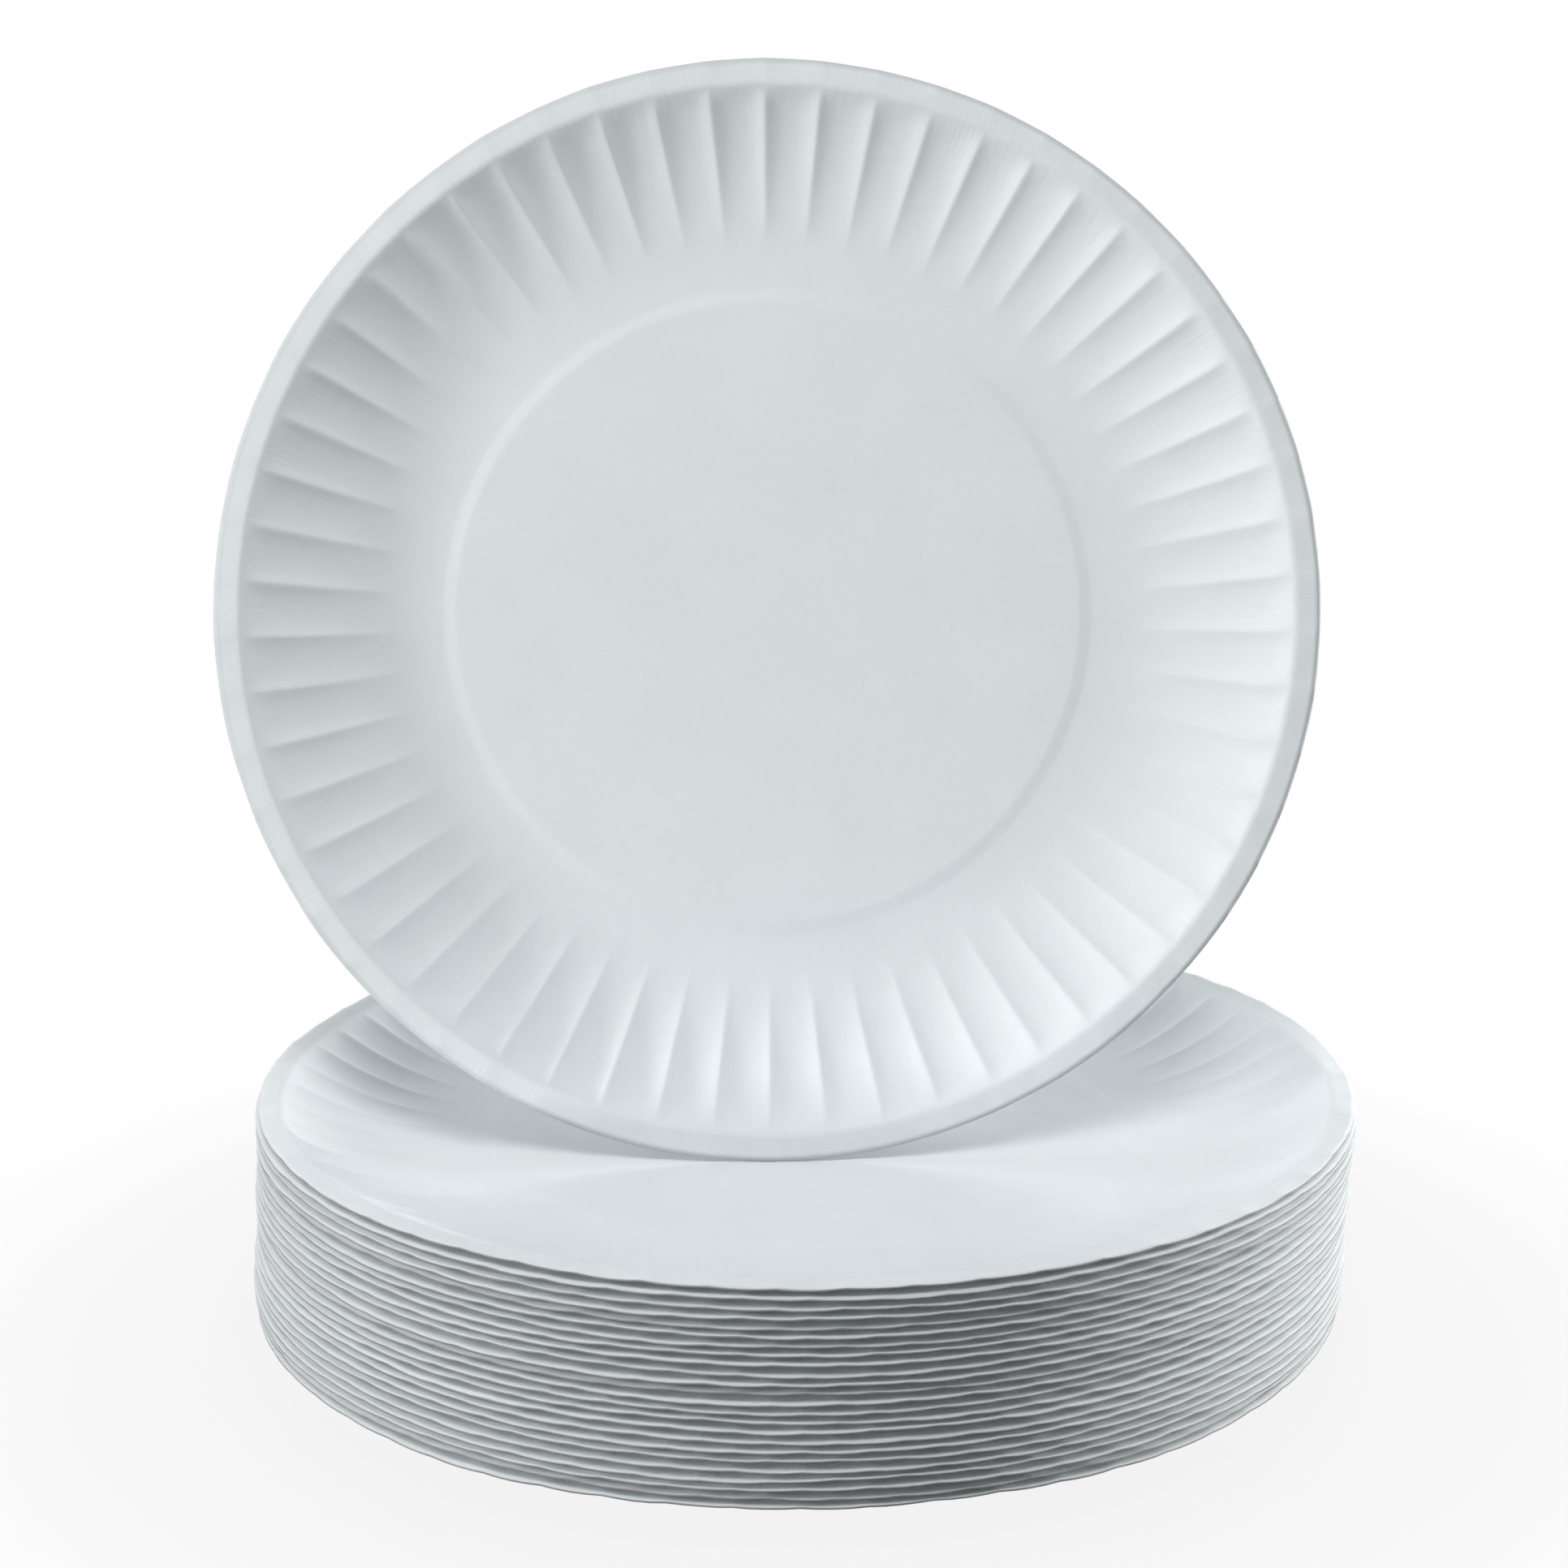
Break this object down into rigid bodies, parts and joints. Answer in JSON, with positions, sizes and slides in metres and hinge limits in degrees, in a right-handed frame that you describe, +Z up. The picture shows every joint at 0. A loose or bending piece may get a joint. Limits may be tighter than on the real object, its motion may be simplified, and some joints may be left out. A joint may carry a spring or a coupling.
{
  "type": "stack of paper plates",
  "caption": "Nested stack of round disposable paper plates with fluted rims, and another plate standing on edge in the top one.",
  "frame": {"origin": "middle of the lowest plate's foot ring, on the surface that the stack rests on", "axes": "+Z up, the plates' axis; -Y is the front, which the inside of the standing plate faces; +X to the right"},
  "size_m": [0.2361, 0.2286, 0.2621],
  "materials": {
    "paper": "matte, uncoated"
  },
  "bodies": {
    "root": {"plate_01": "paper", "plate_02": "paper", "plate_03": "paper", "plate_04": "paper", "plate_05": "paper", "plate_06": "paper", "plate_07": "paper", "plate_08": "paper", "plate_09": "paper", "plate_10": "paper", "plate_11": "paper", "plate_12": "paper", "plate_13": "paper", "plate_14": "paper", "plate_15": "paper", "plate_16": "paper", "plate_17": "paper", "plate_18": "paper", "plate_19": "paper", "plate_20": "paper", "plate_21": "paper", "plate_22": "paper", "plate_23": "paper", "plate_24": "paper", "standing_plate": "paper"}
  },
  "joints": []
}
